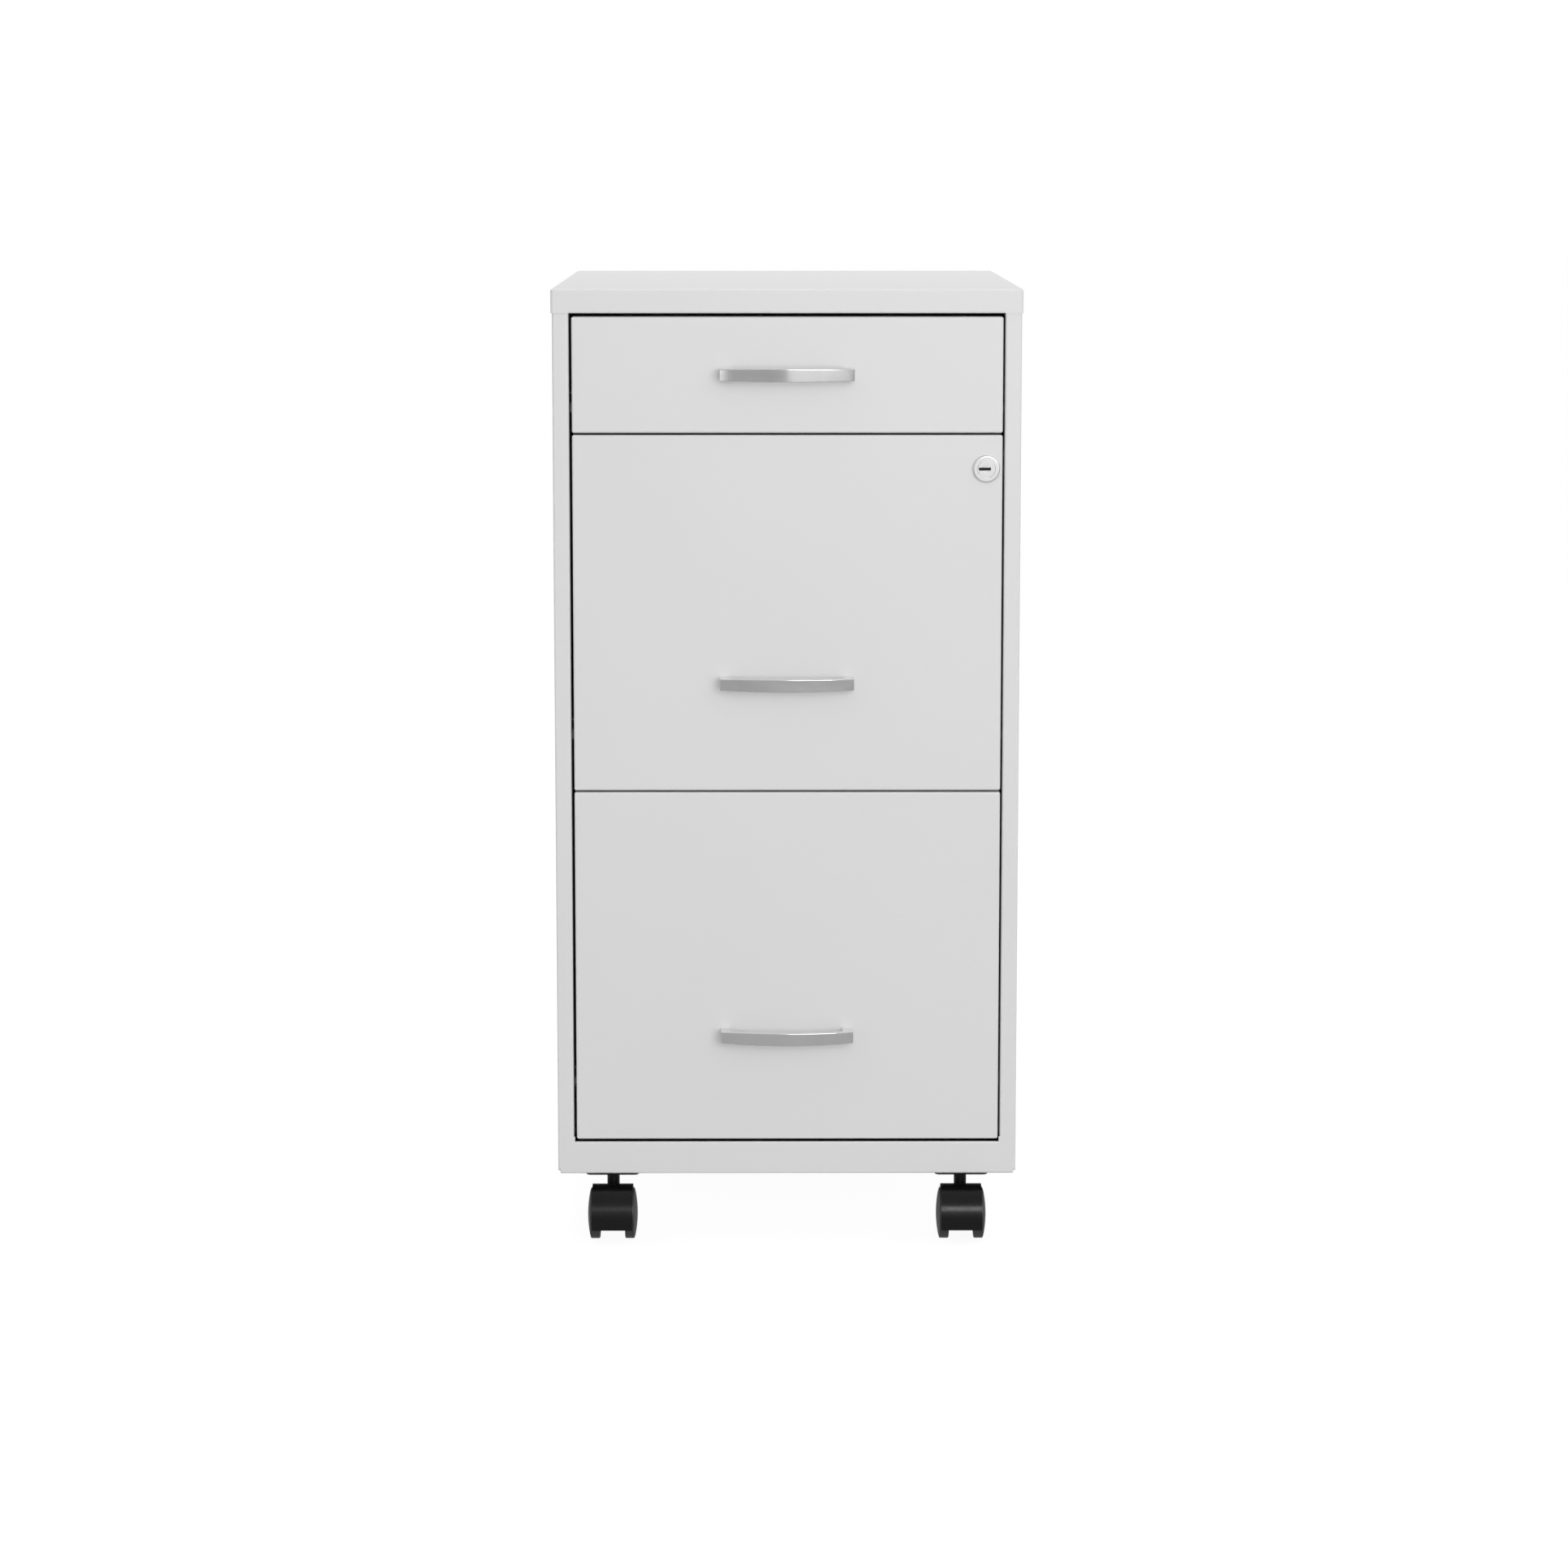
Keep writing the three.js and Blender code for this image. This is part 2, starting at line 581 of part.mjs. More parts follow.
function casterHood() {
  const { outer, inner, half, back, web, webRadius, webBottom } = HOOD;
  const axle = [-TRAIL, WHEEL_RADIUS];
  const drum = cylinderX(outer, [-half, half], ...axle);
  const room = cylinderX(inner, [-half - 1, half + 1], ...axle);
  const low = (HOOD_LOW * Math.PI) / 180;
  const far = 2 * outer;
  // The hood is the part of the drum over the wheels, from its free edge to just past the stem's middle.
  const keep = alongX(new THREE.Shape([
    new THREE.Vector2(-TRAIL, WHEEL_RADIUS),
    new THREE.Vector2(back, BOSS.top - 10),
    new THREE.Vector2(back, WHEEL_RADIUS + far),
    new THREE.Vector2(-TRAIL - far, WHEEL_RADIUS + far),
    new THREE.Vector2(-TRAIL - far * Math.cos(low), WHEEL_RADIUS - far * Math.sin(low)),
  ]), [-half - 1, half + 1]);
  const cover = drum.subtract(room).intersect(keep);
  const webSpace = block([-far, far], [-far - TRAIL, 0], [webBottom, far]);
  const webDisc = cylinderX(webRadius, [-web, web], ...axle).intersect(webSpace);
  const socket = cylinderZ(BOSS.radius, [BOSS.bottom, BOSS.top], 0, 0);
  const whole = join([cover, webDisc, socket]);
  const stemRoom = cylinderZ(STEM.radius + GAP, [STEM.bottom - 1, far], 0, 0);
  const axleHole = cylinderX(AXLE_RADIUS + GAP, [-half, half], ...axle);
  return whole.subtract(stemRoom).subtract(axleHole);
}

// The outer face is domed. The bore is blind, so the axle doesn't show.
function casterWheel() {
  const { inner, tread, shoulder, outer, bore, boreEnd } = WHEEL;
  return turned([
    [0, boreEnd],
    [bore, boreEnd],
    [bore, inner],
    [WHEEL_RADIUS - shoulder, inner],
    [WHEEL_RADIUS, inner + shoulder],
    [WHEEL_RADIUS, tread - shoulder],
    [WHEEL_RADIUS * 0.6, outer - 0.5],
    [0, outer],
  ]);
}

function addCaster(name, x, y) {
  const caster = new THREE.Group();
  caster.position.set(x, y, 0);
  root.add(caster);
  const boreEnd = WHEEL.boreEnd - GAP;
  add(`${name}_caster_plate`, casterPlate(), BLACK_STEEL, caster);
  add(`${name}_caster_hood`, casterHood(), BLACK_PLASTIC, caster);
  const axle = cylinderX(AXLE_RADIUS, [-boreEnd, boreEnd], -TRAIL, WHEEL_RADIUS);
  add(`${name}_caster_axle`, axle, ZINC, caster);
  SIDES.forEach((side) => {
    const turn = side.sign > 0 ? -Math.PI / 2 : Math.PI / 2;
    const wheel = casterWheel().rotateZ(turn).translate(0, -TRAIL, WHEEL_RADIUS);
    add(`${name}_caster_${side.name}_wheel`, wheel, BLACK_PLASTIC, caster);
  });
}

SIDES.forEach(({ name, sign }) => {
  addCaster(`front_${name}`, sign * CASTER_X, FRONT + CASTER_INSET);
  addCaster(`rear_${name}`, sign * CASTER_X, BACK - CASTER_INSET);
});

export default root;
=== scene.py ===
"""Looks of a three-drawer steel filing cabinet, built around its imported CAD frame.

Lengths in this script are millimetres in the row frame (+Z up, the drawers open towards -Y),
and mesh() turns them into Blender's metres. Where a piece stands comes from the CAD node that
it replaces, through low() and high(), the lowest and the highest corner of that node.
"""

import json
import math

import bmesh
import bpy
from mathutils import Matrix, Vector

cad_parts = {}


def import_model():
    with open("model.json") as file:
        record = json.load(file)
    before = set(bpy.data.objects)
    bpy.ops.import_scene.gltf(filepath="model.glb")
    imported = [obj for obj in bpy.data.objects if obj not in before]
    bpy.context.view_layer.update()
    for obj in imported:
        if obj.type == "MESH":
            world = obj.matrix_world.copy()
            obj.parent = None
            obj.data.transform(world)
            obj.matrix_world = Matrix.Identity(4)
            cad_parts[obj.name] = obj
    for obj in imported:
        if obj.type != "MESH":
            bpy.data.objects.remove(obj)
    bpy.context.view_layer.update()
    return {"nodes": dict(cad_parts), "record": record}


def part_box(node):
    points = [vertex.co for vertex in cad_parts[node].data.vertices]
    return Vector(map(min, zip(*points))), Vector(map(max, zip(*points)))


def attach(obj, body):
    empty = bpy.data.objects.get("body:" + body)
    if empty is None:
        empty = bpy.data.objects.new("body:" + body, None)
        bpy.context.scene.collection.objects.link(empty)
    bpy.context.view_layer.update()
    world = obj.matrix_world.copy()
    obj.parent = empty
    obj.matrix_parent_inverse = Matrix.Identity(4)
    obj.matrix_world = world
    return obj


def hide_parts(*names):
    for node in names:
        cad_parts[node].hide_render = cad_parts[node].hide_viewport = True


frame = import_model()

MM = 0.001
record = frame["record"]
scene = bpy.context.scene
body_of = {node: body for body, nodes in record["behaviour"]["bodies"].items() for node in nodes}
slot_of = {part["node"]: part["material_slot"] for part in record["subparts"]}

DRAWERS = ("top", "middle", "bottom")
SIDES = (("left", -1), ("right", 1))
CORNERS = ("front_left", "front_right", "rear_left", "rear_right")
QUARTERS = ((1, 1), (-1, 1), (-1, -1), (1, -1))

# ---- Sheet metal ----
CAP_SHEET = 0.6
SHEET = 0.7
DRAWER_SHEET = 0.8
BEND = 1.5
BEND_STEPS = 6
PAN_CORNER = BEND + 0.5
SMALLEST_CORNER = 0.2
CORNER_STEPS = 8
EDGE = 0.12
SMALL_EDGE = 0.1
HARD_EDGE_DEGREES = 35
CUT_OVER = 1  # how far a cutter reaches past the sheet that it cuts
TOUCH = 0.05  # between a sheet and what is welded to it

# ---- Case ----
OPENING_HALF = 167.5
STILE_GAP = 0.3
STILE_RETURN = 19
REAR_FLANGE = 14
LIP_DEPTH = 16
LIP_FALL = 5
EAR_RISE = 3.5
EAR_LAP = 0.5
NOTCH_DEPTH = 20
RELIEF_RADIUS = 0.65
RELIEF_DEPTH = 3
CAM_SLOT_BELOW_AXIS = 6
CAM_SLOT_ABOVE_AXIS = 17
CAM_SLOT_IN_FRONT = 2
CAM_SLOT_BEHIND = 1

# ---- Drawers ----
FRONT_CORNER = 1.6
# How much smaller than its CAD solid a pressed front is, which gives the gaps their width.
FRONT_TRIM_LEFT = 0.8
FRONT_TRIM_RIGHT = 0.2
FRONT_TRIM_TOP = 0.5
FRONT_TRIM_BOTTOM = 0.1
FRONT_SLOT_OPEN_END = 4  # past the slot in the stile
LOCK_HOLE_RADIUS = 8.5
LOCK_HOLE_DEPTH = 1.5
BOX_WALL = 158
BOX_FRONT_DROP = 2
BOX_BACK_DROP = 12
HANGER = 6
RUNNER_HALF_SHEET = 0.5

# ---- Handles ----
HANDLE_HALF = 51.75
HANDLE_POST = 8.5
HANDLE_BAR = 4.5
HANDLE_END_REACH = 15.5
HANDLE_END_HEIGHT = 8.8
HANDLE_HEIGHT_ARC = HANDLE_HALF + 1  # half the length over which its height bows
HANDLE_INNER_END = 12.2  # how far the bar's inner face stands out next to a post
HANDLE_FOOT = 0.02
HANDLE_EDGE = 0.5
HANDLE_EDGE_STEPS = 4
POST_STEPS = 4
BAR_STEPS = 44

# ---- Cam lock, along its axis from the drawer's face ----
LOCK_PROUD = 2.8
LOCK_BACK = 15
LOCK_THREAD = 8.2
LOCK_FLANGE = 10.55
LOCK_FLANGE_ROUND = 1.2
LOCK_FACE_GAP = 0.02
LOCK_BORE = 6.85
BARREL_RADIUS = 6.8
BARREL_CHAMFER = 0.2
GROOVE_RADIUS = 2.8
GROOVE_HALF = 0.25
GROOVE_FLOOR_HALF = 0.1
GROOVE_DEPTH = 0.35
KEYWAY_LEFT = 5.9
KEYWAY_RIGHT = 3.4
KEYWAY_HALF_HEIGHT = 1.15
KEYWAY_IN_FRONT = 4
KEYWAY_BEHIND = 8
# Painted shade: a black block inside the keyway stands in for the dark of its depth.
KEYWAY_SHADE_OVERLAP = 0.1
KEYWAY_SHADE_START = 2.5
KEYWAY_SHADE_END = 4.5

# ---- Casters ----
PLATE_SIDE = 42
PLATE_THICKNESS = 1.5
PLATE_EDGE = 1.1
PLATE_CORNER = 4
SCREW_OFFSET = 15.5
SCREW_RADIUS = 3.6
SCREW_HEIGHT = 0.6
SCREW_RIM_HEIGHT = 0.25  # of the head's height
SCREW_SUNK = 0.3
SCREW_DOME_DEGREES = 80
SCREW_EDGE = 0.06
CROSS_ARM = 2
CROSS_WIDTH = 0.8
CROSS_PAST_HEAD = 0.1
STEM_NECK_RADIUS = 4
STEM_NECK_LENGTH = 0.9
STEM_RADIUS = 4.9
STEM_SHOULDER = 2  # under the plate
STEM_BOTTOM = 18
STEM_IN_PLATE = 0.5
HOOD_OUTER = 23
HOOD_INNER = 21.2
HOOD_HALF = 15.95
HOOD_LIP_DEGREES = -23.5
HOOD_END_BEFORE_STEM = 1
HOOD_STEPS = 48
HOOD_EDGE = 0.45
WEB_HALF = 8.9
WEB_RADIUS = 22
WEB_BOTTOM = 12.5
SOCKET_RADIUS = 7.6
SOCKET_BOTTOM = 14
SOCKET_TOP = 36.2
STEM_BORE = 5.2
STEM_BORE_BOTTOM = 17
ABOVE_HOOD = 60
BEYOND_HOOD = 30
AXLE_BORE = 2.8
WHEEL_RADIUS = 20
WHEEL_INNER = 9.9
WHEEL_OUTER = 19.6
WHEEL_EDGE = 0.9
WHEEL_BORE_END = 17.3
RECESS_FROM = 6
RECESS_TO = 17
RECESS_SLOPE = 0.4
RECESS_DEPTH = 0.8
DISC_CURVE = 88
DISC_RADII = (17, 14, 11, 8, 5, 2.5, 0.8)

# ---- The camera and the studio ----
CAMERA_PLACE = (-15.1, -3413.2, 858.2)
CAMERA_TILT = 8.137
CAMERA_TURN = -0.223
LENS = 95.53
SENSOR = 36
SHIFT = (0.0003, -0.03)
CLIP_END = 100_000
FLOOR_HALF = 30_000
FLOOR_SEEN = 0.93
FLOOR_LIT = 0.33
WORLD_SEEN = 1.02
WORLD_LIT = 0.56


def low(node):
    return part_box(node)[0] / MM


def high(node):
    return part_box(node)[1] / MM


def centre_of(node):
    return (low(node) + high(node)) / 2


# ---- Materials ----
class Finish:
    """A Principled material whose colour, roughness and bump vary with procedural noise."""

    NOISE_LOW = 0.3
    NOISE_HIGH = 0.7

    def __init__(self, name, color, roughness, metallic=0.0, sockets=None):
        self.material = bpy.data.materials.new(name)
        self.material.use_nodes = True
        self.nodes = self.material.node_tree.nodes
        self.links = self.material.node_tree.links
        self.shader = self.nodes["Principled BSDF"]
        self.shader.inputs["Base Color"].default_value = (*color, 1)
        self.shader.inputs["Roughness"].default_value = roughness
        self.shader.inputs["Metallic"].default_value = metallic
        for socket, value in (sockets or {}).items():
            self.shader.inputs[socket].default_value = value
        self.color = color
        self.roughness = roughness

    def noise(self, scale, detail, stretch=(1, 1, 1)):
        """Noise in object space. scale is in features per metre, and stretch divides it."""
        place = self.nodes.new("ShaderNodeTexCoord")
        mapping = self.nodes.new("ShaderNodeMapping")
        mapping.inputs["Scale"].default_value = [1 / s for s in stretch]
        texture = self.nodes.new("ShaderNodeTexNoise")
        texture.inputs["Scale"].default_value = scale
        texture.inputs["Detail"].default_value = detail
        self.links.new(place.outputs["Object"], mapping.inputs["Vector"])
        self.links.new(mapping.outputs["Vector"], texture.inputs["Vector"])
        return texture.outputs["Fac"]

    def vary_color(self, source, darker, lighter):
        """Moves the base colour between two multiples of itself."""
        ramp = self.nodes.new("ShaderNodeValToRGB")
        first, last = ramp.color_ramp.elements
        first.position = self.NOISE_LOW
        last.position = self.NOISE_HIGH
        first.color = (*[c * darker for c in self.color], 1)
        last.color = (*[c * lighter for c in self.color], 1)
        self.links.new(source, ramp.inputs["Fac"])
        self.links.new(ramp.outputs["Color"], self.shader.inputs["Base Color"])

    def vary_roughness(self, source, spread):
        """Moves the roughness up and down by the spread."""
        span = self.nodes.new("ShaderNodeMapRange")
        span.inputs["From Min"].default_value = self.NOISE_LOW
        span.inputs["From Max"].default_value = self.NOISE_HIGH
        span.inputs["To Min"].default_value = self.roughness - spread
        span.inputs["To Max"].default_value = self.roughness + spread
        self.links.new(source, span.inputs["Value"])
        self.links.new(span.outputs["Result"], self.shader.inputs["Roughness"])

    def bump(self, source, strength, depth):
        """Bump from a height in millimetres. A second call adds to the first."""
        node = self.nodes.new("ShaderNodeBump")
        node.inputs["Strength"].default_value = strength
        node.inputs["Distance"].default_value = depth * MM
        self.links.new(source, node.inputs["Height"])
        earlier = self.shader.inputs["Normal"].links
        if earlier:
            self.links.new(earlier[0].from_socket, node.inputs["Normal"])
        self.links.new(node.outputs["Normal"], self.shader.inputs["Normal"])


def powder_coat(name, color, roughness):
    """Light grey powder coat: satin, with very fine orange peel and a faint unevenness."""
    coat = {"Coat Weight": 0.12, "Coat Roughness": 0.25}
    finish = Finish(name, color, roughness, sockets=coat)
    finish.vary_color(finish.noise(scale=5, detail=3), darker=0.992, lighter=1.008)
    finish.vary_roughness(finish.noise(scale=90, detail=3), spread=0.03)
    finish.bump(finish.noise(scale=620, detail=2), strength=0.35, depth=0.012)
    finish.bump(finish.noise(scale=9, detail=1), strength=0.25, depth=0.05)
    return finish.material


def satin_nickel():
    """Cast handles plated in satin nickel, with fine lines along the bar."""
    finish = Finish("satin nickel", color=(0.76, 0.758, 0.757), roughness=0.16, metallic=1.0)
    finish.vary_color(finish.noise(scale=60, detail=3), darker=0.97, lighter=1.03)
    brushed = finish.noise(scale=240, detail=4, stretch=(9, 1, 1))
    finish.vary_roughness(brushed, spread=0.04)
    lines = finish.noise(scale=1500, detail=3, stretch=(14, 1, 1))
    finish.bump(lines, strength=0.25, depth=0.006)
    return finish.material


def bright_nickel():
    """The lock's plating, even and a little lighter than the handles'."""
    finish = Finish("bright nickel", color=(0.81, 0.803, 0.806), roughness=0.3, metallic=1.0)
    finish.vary_color(finish.noise(scale=220, detail=3), darker=0.985, lighter=1.01)
    finish.vary_roughness(finish.noise(scale=500, detail=3), spread=0.01)
    finish.bump(finish.noise(scale=2200, detail=2), strength=0.12, depth=0.002)
    return finish.material


def zinc_plate():
    """Zinc plating with its uneven crystals, a little bluish."""
    finish = Finish("zinc plate", color=(0.55, 0.565, 0.58), roughness=0.38, metallic=1.0)
    finish.vary_color(finish.noise(scale=45, detail=4), darker=0.88, lighter=1.08)
    streaks = finish.noise(scale=160, detail=3, stretch=(1, 6, 1))
    finish.vary_roughness(streaks, spread=0.08)
    finish.bump(finish.noise(scale=900, detail=3), strength=0.3, depth=0.01)
    return finish.material


def black_finish(name, color, roughness, specular, grain):
    """Black plastic or enamel, with a fine grain in features per metre."""
    finish = Finish(name, color, roughness, sockets={"Specular IOR Level": specular})
    finish.vary_color(finish.noise(scale=130, detail=3), darker=0.9, lighter=1.12)
    finish.vary_roughness(finish.noise(scale=320, detail=3), spread=0.03)
    finish.bump(finish.noise(scale=grain, detail=2), strength=0.25, depth=0.006)
    return finish.material


def natural_nylon():
    """Undyed nylon, a little translucent."""
    depths = [depth * MM for depth in (3, 2.7, 2)]
    soft = {"Subsurface Weight": 0.15, "Subsurface Radius": depths}
    finish = Finish("natural nylon", color=(0.80, 0.785, 0.72), roughness=0.45, sockets=soft)
    finish.vary_color(finish.noise(scale=110, detail=3), darker=0.97, lighter=1.02)
    finish.vary_roughness(finish.noise(scale=400, detail=2), spread=0.05)
    finish.bump(finish.noise(scale=700, detail=2), strength=0.3, depth=0.01)
    return finish.material


CASE_PAINT = (0.775, 0.775, 0.773)
DRAWER_PAINT = tuple(c * 0.97 for c in CASE_PAINT)
ENAMEL_BLACK = (0.004, 0.004, 0.0042)
HOOD_BLACK = (0.006, 0.0058, 0.0056)
WHEEL_BLACK = (0.035, 0.0345, 0.034)

materials = {
    "case_paint": powder_coat("case powder coat", CASE_PAINT, roughness=0.42),
    "drawer_paint": powder_coat("drawer powder coat", DRAWER_PAINT, roughness=0.45),
    "handle_metal": satin_nickel(),
    "lock_chrome": bright_nickel(),
    "zinc_steel": zinc_plate(),
    "nylon": natural_nylon(),
    "caster_steel": black_finish(
        "black enamel", ENAMEL_BLACK, roughness=0.35, specular=0.35, grain=500,
    ),
    "caster_plastic": black_finish(
        "black caster plastic", HOOD_BLACK, roughness=0.25, specular=0.26, grain=1400,
    ),
}
wheel_plastic = black_finish(
    "black wheel plastic", WHEEL_BLACK, roughness=0.4, specular=0.5, grain=1100,
)


# ---- Mesh tools ----
def mesh(name, rings, looped=False):
    """A closed surface through rings of equal length. The ends are capped or joined."""
    build = bmesh.new()
    rows = [[build.verts.new(Vector(point) * MM) for point in ring] for ring in rings]
    following = rows[1:] + rows[:1] if looped else rows[1:]
    for first, second in zip(rows, following):
        for i, vertex in enumerate(first):
            after = (i + 1) % len(first)
            build.faces.new((vertex, first[after], second[after], second[i]))
    if not looped:
        build.faces.new(rows[0])
        build.faces.new(rows[-1])
    bmesh.ops.remove_doubles(build, verts=build.verts, dist=1e-7)
    bmesh.ops.recalc_face_normals(build, faces=build.faces)
    data = bpy.data.meshes.new(name)
    build.to_mesh(data)
    build.free()
    piece = bpy.data.objects.new(name, data)
    scene.collection.objects.link(piece)
    return piece


def block(name, corner, opposite):
    (x0, y0, z0), (x1, y1, z1) = corner, opposite
    ring = [(x0, y0), (x1, y0), (x1, y1), (x0, y1)]
    return mesh(name, [[(x, y, z) for x, y in ring] for z in (z0, z1)])


def circle(radius, steps):
    angles = [2 * math.pi * i / steps for i in range(steps)]
    return [(radius * math.cos(a), radius * math.sin(a)) for a in angles]


def turned(name, profile, place, steps=64, looped=False):
    """A turned piece: profile is (radius, along), and place maps (a, b, along) to a point."""
    rings = [[place(a, b, along) for a, b in circle(radius, steps)] for radius, along in profile]
    return mesh(name, rings, looped)


def arc(centre, radius, start, end, steps):
    """Points on an arc, with its angles in degrees."""
    angles = [math.radians(start + (end - start) * i / steps) for i in range(steps + 1)]
    return [(centre[0] + radius * math.cos(a), centre[1] + radius * math.sin(a)) for a in angles]


def round_corners(path, left_radius, right_radius):
    """Rounds an open path's corners, with one radius where it turns left and one elsewhere."""
    rounded = [path[0]]
    for before, here, after in zip(path, path[1:], path[2:]):
        first = (here - before).normalized().orthogonal()
        second = (after - here).normalized().orthogonal()
        turn = math.atan2(first.cross(second), first.dot(second))
        side = math.copysign(1, turn)
        radius = left_radius if turn > 0 else right_radius
        centre = here + (first + second) * side * radius / (1 + first.dot(second))
        for step in range(BEND_STEPS + 1):
            spoke = Matrix.Rotation(turn * step / BEND_STEPS, 2) @ first
            rounded.append(centre - spoke * side * radius)
    rounded.append(path[-1])
    return rounded


def offset(path, distance):
    """Moves an open path to its left."""
    normals = [(b - a).normalized().orthogonal() for a, b in zip(path, path[1:])]
    moved = []
    for point, first, second in zip(path, [normals[0], *normals], [*normals, normals[-1]]):
        moved.append(point + (first + second) * distance / (1 + first.dot(second)))
    return moved


def folded(points, sheet):
    """The outline of a folded sheet. The path runs along one face, the metal on its left."""
    path = [Vector(point) for point in points]
    near_face = round_corners(path, BEND, BEND - sheet)
    far_face = round_corners(offset(path, sheet), BEND - sheet, BEND)
    return near_face + far_face[::-1]


def drawn(name, outline, axis, span):
    """An outline drawn out along an axis. It holds (y, z), (x, z) or (x, y) for x, y or z."""
    makers = {
        "x": lambda a, b, c: (c, a, b),
        "y": lambda a, b, c: (a, c, b),
        "z": lambda a, b, c: (a, b, c),
    }
    return mesh(name, [[makers[axis](a, b, c) for a, b in outline] for c in span])


def rounded_rectangle(width, height, radius):
    points = []
    for turn, (sx, sy) in enumerate(QUARTERS):
        centre = (sx * (width / 2 - radius), sy * (height / 2 - radius))
        points += arc(centre, radius, 90 * turn, 90 * turn + 90, CORNER_STEPS)
    return points


def tray(name, size, depth, corner, sheet, place):
    """A pressed tray. place maps (u, v, depth) to a point, with depth 0 on its outer face."""
    width, height = size

    def wall(inset, bend, face):
        """Steps from the tray's edge down to its face, as (inset, depth)."""
        round_start = (inset + bend, face + bend)
        straight = [(inset, depth), (inset, face + bend)]
        return straight + arc(round_start, bend, 180, 270, BEND_STEPS)[1:]

    outer = wall(0, BEND, 0)
    inner = wall(sheet, BEND - sheet, sheet)
    rings = []
    for inset, w in outer[::-1] + inner:
        radius = max(corner - inset, SMALLEST_CORNER)
        outline = rounded_rectangle(width - 2 * inset, height - 2 * inset, radius)
        rings.append([place(u, v, w) for u, v in outline])
    return mesh(name, rings)


def carve(piece, cutters, operation="DIFFERENCE"):
    """Cuts the cutters out of a piece, joins or crosses them with it, and removes them."""
    for cutter in cutters:
        modifier = piece.modifiers.new("carve", "BOOLEAN")
        modifier.operation = operation
        modifier.solver = "EXACT"
        modifier.object = cutter
    bpy.context.view_layer.update()
    graph = bpy.context.evaluated_depsgraph_get()
    result = bpy.data.meshes.new_from_object(piece.evaluated_get(graph))
    piece.modifiers.clear()
    piece.data = result
    for cutter in cutters:
        bpy.data.objects.remove(cutter)


def ease(piece, width=EDGE, segments=2):
    """Rounds the hard edges, and keeps the flat faces flat in the shading."""
    piece.data.shade_smooth()
    bevel = piece.modifiers.new("edges", "BEVEL")
    bevel.width = width * MM
    bevel.segments = segments
    bevel.limit_method = "ANGLE"
    bevel.angle_limit = math.radians(HARD_EDGE_DEGREES)
    weighted = piece.modifiers.new("normals", "WEIGHTED_NORMAL")
    weighted.weight = 100
    return piece


def rides_with(piece, node):
    """The piece moves with a CAD node and takes its finish."""
    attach(piece, body_of[node])
    piece.data.materials.clear()
    piece.data.materials.append(materials[slot_of[node]])


def stands_for(piece, node):
    """The piece takes the place of a CAD node."""
    rides_with(piece, node)
    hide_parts(node)


# ---- Case ----
def top_cap():
    near, far = low("top_cap"), high("top_cap")
    middle = centre_of("top_cap")
    size = (far.x - near.x, far.y - near.y)
    shell = tray(
        "top_cap_sheet", size, far.z - near.z, PAN_CORNER, CAP_SHEET,
        lambda u, v, w: (middle.x + u, middle.y + v, far.z - w),
    )
    half = OPENING_HALF - STILE_GAP
    edge = block(
        "cap_edge_cutter",
        (-half, near.y - CUT_OVER, near.z - CUT_OVER),
        (half, near.y + CAP_SHEET, near.z + BEND),
    )
    carve(shell, [edge])
    path = [
        (near.y, near.z + 2 * BEND),
        (near.y, near.z),
        (near.y + LIP_DEPTH, near.z),
    ]
    carve(shell, [drawn("cap_lip", folded(path, CAP_SHEET), "x", (-half, half))], "UNION")
    stands_for(ease(shell), "top_cap")


def side_panel(name, sign):
    """A side with its stile and rear flange, notched at the foot for the rail's ear."""
    node = f"{name}_side_panel"
    near, far = low(node), high(node)
    outer = sign * max(abs(near.x), abs(far.x))
    path = [
        (sign * OPENING_HALF, near.y + STILE_RETURN),
        (sign * OPENING_HALF, near.y),
        (outer, near.y),
        (outer, far.y),
        (outer - sign * REAR_FLANGE, far.y),
    ]
    outline = [(sign * x, y) for x, y in folded([(sign * x, y) for x, y in path], SHEET)]
    panel = drawn(f"{node}_sheet", outline, "z", (near.z, far.z))
    ear = high("bottom_front_rail")
    notch_from, notch_to = sorted((sign * (OPENING_HALF - CUT_OVER), sign * ear.x))
    notch = block(
        "notch_cutter",
        (notch_from, near.y - CUT_OVER, near.z - CUT_OVER),
        (notch_to, near.y + NOTCH_DEPTH, ear.z),
    )
    relief_x = sign * (ear.x + RELIEF_RADIUS)
    relief_z = near.z + RELIEF_RADIUS
    relief = turned(
        "relief_cutter",
        [(RELIEF_RADIUS, near.y - CUT_OVER), (RELIEF_RADIUS, near.y + RELIEF_DEPTH)],
        lambda a, b, y: (relief_x + a, y, relief_z + b),
        steps=16,
    )
    carve(panel, [notch, relief])
    if sign > 0:
        carve(panel, [cam_slot(OPENING_HALF - CUT_OVER, OPENING_HALF + SHEET + CUT_OVER)])
    stands_for(ease(panel), node)


def cam_slot(x0, x1, open_end=0.0):
    """A cutter for the way of the lock's cam, through a sheet between x0 and x1."""
    cam_low, cam_high = low("lock_cam"), high("lock_cam")
    axis = centre_of("lock_plug").z
    return block(
        "slot_cutter",
        (x0, cam_low.y - CAM_SLOT_IN_FRONT, axis - CAM_SLOT_BELOW_AXIS),
        (x1, cam_high.y + CAM_SLOT_BEHIND + open_end, axis + CAM_SLOT_ABOVE_AXIS),
    )


